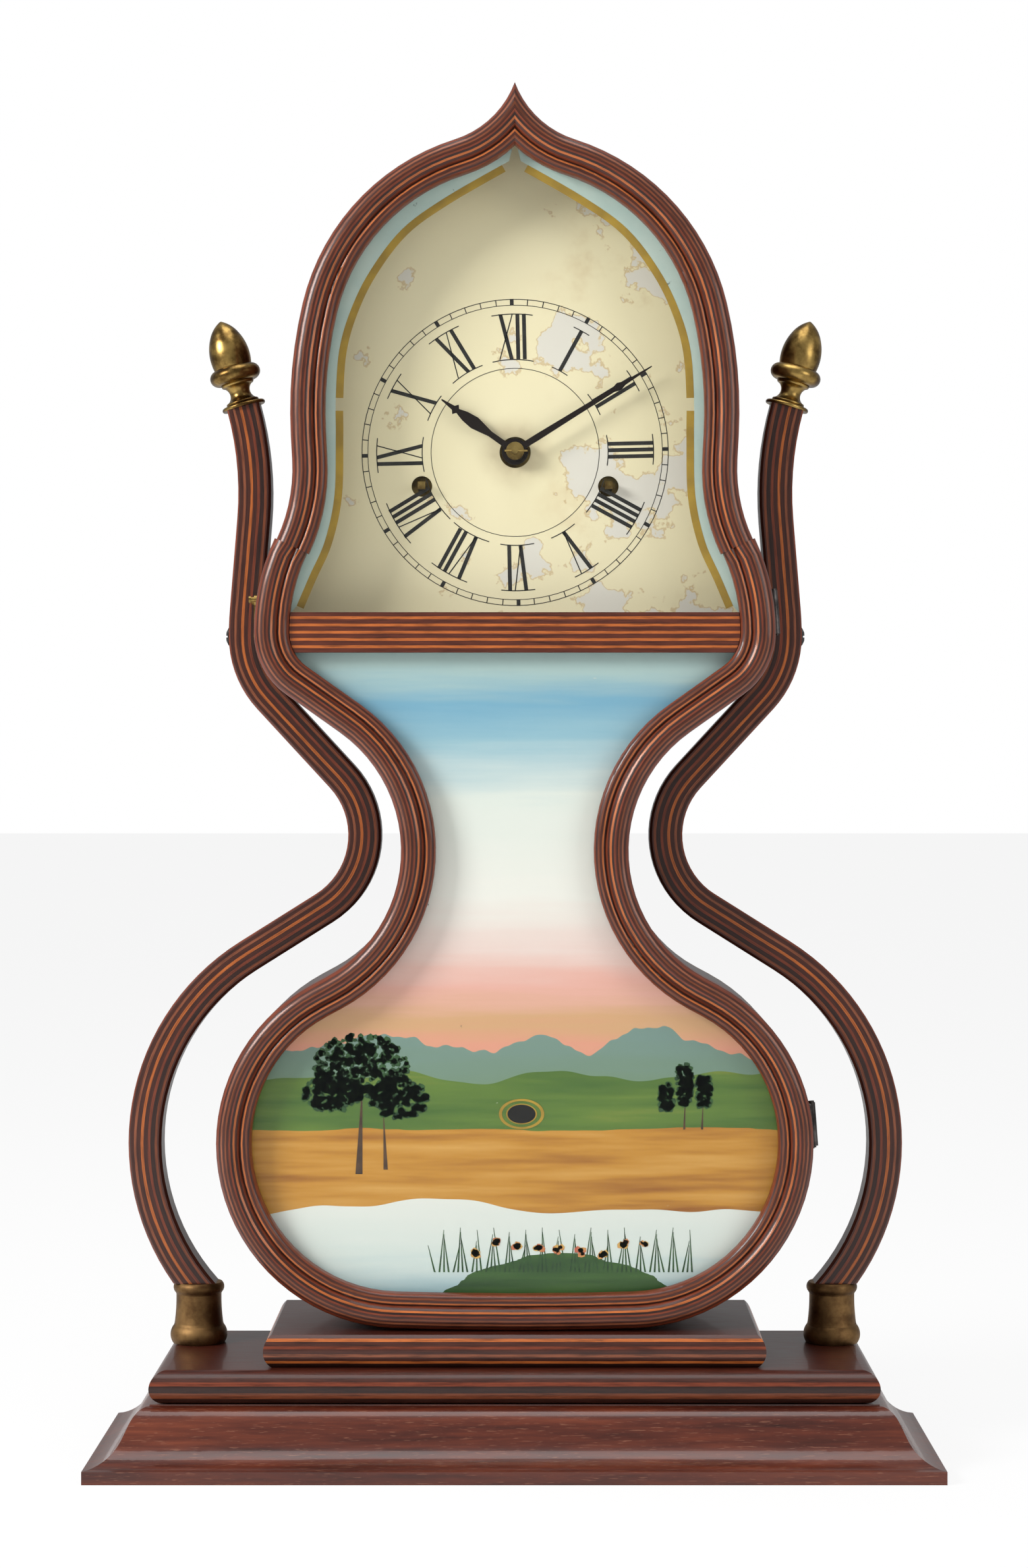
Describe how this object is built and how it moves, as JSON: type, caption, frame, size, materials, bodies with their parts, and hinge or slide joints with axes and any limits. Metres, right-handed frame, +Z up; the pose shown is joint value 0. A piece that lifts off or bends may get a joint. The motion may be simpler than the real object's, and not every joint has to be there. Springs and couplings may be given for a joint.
{
  "type": "acorn shelf clock",
  "caption": "Acorn-shaped shelf clock of bent laminated wood with side arms, opening glazed door, painted dial, two-train movement and pendulum.",
  "frame": {"origin": "centre of the base's underside", "axes": "+Z up, +X to the clock's right as seen from the front, the dial faces -Y"},
  "size_m": [0.375, 0.127, 0.6167],
  "materials": {
    "dark_mahogany": "gloss",
    "laminated_wood": "gloss",
    "plain_wood": "satin",
    "clear_glass": "gloss",
    "painted_glass": "gloss",
    "worn_bronze": "satin",
    "old_brass": "satin",
    "painted_zinc": "matte",
    "dark_steel": "satin",
    "cast_iron": "matte",
    "cord": "matte"
  },
  "bodies": {
    "door": {"door_frame": "laminated_wood", "door_crossbar": "laminated_wood", "upper_glass": "clear_glass", "upper_glazing_bead": "laminated_wood", "lower_tablet": "painted_glass", "lower_glazing_bead": "laminated_wood", "hinge_door_leaves": "old_brass", "hinge_door_screws": "old_brass", "hook_pin": "old_brass"},
    "hook": {"door_hook": "old_brass"},
    "minute": {"minute_pipe": "old_brass", "minute_hand": "dark_steel", "hand_washer": "old_brass", "hand_pin": "old_brass"},
    "hour": {"hour_wheel": "old_brass", "hour_hand": "dark_steel"},
    "minute_idler": {"minute_wheel": "old_brass"},
    "centre": {"centre_wheel": "old_brass"},
    "time_winding": {"time_drum": "old_brass"},
    "escape": {"escape_wheel": "old_brass"},
    "pendulum": {"verge": "dark_steel", "pendulum_rod": "dark_steel", "pendulum_bob": "old_brass"},
    "strike_winding": {"strike_drum": "old_brass", "count_wheel": "old_brass"},
    "fly_arbor": {"fly": "old_brass"},
    "hammer": {"strike_hammer": "dark_steel"},
    "time_spring_cone": {"time_cone": "plain_wood"},
    "strike_spring_cone": {"strike_cone": "plain_wood"},
    "case": {"arm_screws": "dark_steel", "backboard": "plain_wood", "base_board": "laminated_wood", "base_front_moulding": "dark_mahogany", "base_side_mouldings": "dark_mahogany", "case_side_left": "laminated_wood", "case_side_right": "laminated_wood", "case_small_screws": "old_brass", "cone_frame": "cast_iron", "dial_blocks": "plain_wood", "dial_plate": "painted_zinc", "gong": "dark_steel", "gong_block": "dark_steel", "hinge_case_leaves": "old_brass", "hinge_pins": "old_brass", "hook_screw": "old_brass", "left_arm": "laminated_wood", "left_arm_socket": "worn_bronze", "left_finial": "old_brass", "mainsprings": "dark_steel", "movement_back_plate": "old_brass", "movement_front_plate": "old_brass", "plate_pillars": "old_brass", "plinth_board": "laminated_wood", "right_arm": "laminated_wood", "right_arm_socket": "worn_bronze", "right_finial": "old_brass", "spring_barrels": "cast_iron", "strike_cord": "cord", "time_cord": "cord"}
  },
  "joints": [
    {"name": "door_hinge", "type": "hinge", "parent": "case", "child": "door", "pos_m": [0.11733, -0.00425, 0.3807], "axis": [-0.0736, 0, 0.9973], "range_deg": [0, 120]},
    {"name": "hook_swing", "type": "hinge", "parent": "case", "child": "hook", "pos_m": [-0.1176, 0.004, 0.386], "axis": [1, 0, 0], "range_deg": [0, 270]},
    {"name": "minute_turn", "type": "hinge", "parent": "case", "child": "minute", "pos_m": [0, 0.004, 0.4542], "axis": [0, 1, 0], "continuous": true},
    {"name": "hour_turn", "type": "hinge", "parent": "case", "child": "hour", "pos_m": [0, 0.007, 0.4542], "axis": [0, 1, 0], "continuous": true},
    {"name": "minute_idler_turn", "type": "hinge", "parent": "case", "child": "minute_idler", "pos_m": [0.00479, 0.018, 0.44104], "axis": [0, 1, 0], "continuous": true},
    {"name": "escape_turn", "type": "hinge", "parent": "case", "child": "escape", "pos_m": [0, 0.036, 0.4782], "axis": [0, 1, 0], "continuous": true},
    {"name": "centre_turn", "type": "hinge", "parent": "case", "child": "centre", "pos_m": [0, 0.036, 0.4542], "axis": [0, 1, 0], "continuous": true},
    {"name": "time_winding_turn", "type": "hinge", "parent": "case", "child": "time_winding", "pos_m": [0.0425, 0.036, 0.4387], "axis": [0, 1, 0], "continuous": true},
    {"name": "time_cone_turn", "type": "hinge", "parent": "case", "child": "time_spring_cone", "pos_m": [0.046, 0.03, 0.122], "axis": [0, 1, 0], "continuous": true},
    {"name": "fly_turn", "type": "hinge", "parent": "case", "child": "fly_arbor", "pos_m": [-0.03464, 0.036, 0.48325], "axis": [0, 1, 0], "continuous": true},
    {"name": "strike_winding_turn", "type": "hinge", "parent": "case", "child": "strike_winding", "pos_m": [-0.0425, 0.036, 0.4387], "axis": [0, 1, 0], "continuous": true},
    {"name": "strike_cone_turn", "type": "hinge", "parent": "case", "child": "strike_spring_cone", "pos_m": [-0.046, 0.03, 0.122], "axis": [0, 1, 0], "continuous": true},
    {"name": "hammer_lift", "type": "hinge", "parent": "case", "child": "hammer", "pos_m": [-0.02, 0.036, 0.399], "axis": [0, 1, 0], "range_deg": [0, 8]},
    {"name": "pendulum_swing", "type": "hinge", "parent": "case", "child": "pendulum", "pos_m": [0, 0.045, 0.4982], "axis": [0, 1, 0], "range_deg": [-3, 3]}
  ],
  "couplings": [
    {"joint": "hour_turn", "follows": "minute_turn", "ratio": 0.083333},
    {"joint": "minute_idler_turn", "follows": "minute_turn", "ratio": -0.33333},
    {"joint": "centre_turn", "follows": "escape_turn", "ratio": -0.11111},
    {"joint": "time_winding_turn", "follows": "escape_turn", "ratio": 0.0092593},
    {"joint": "time_cone_turn", "follows": "escape_turn", "ratio": 0.0038612},
    {"joint": "strike_winding_turn", "follows": "fly_turn", "ratio": -0.083333},
    {"joint": "strike_cone_turn", "follows": "fly_turn", "ratio": -0.034751}
  ]
}
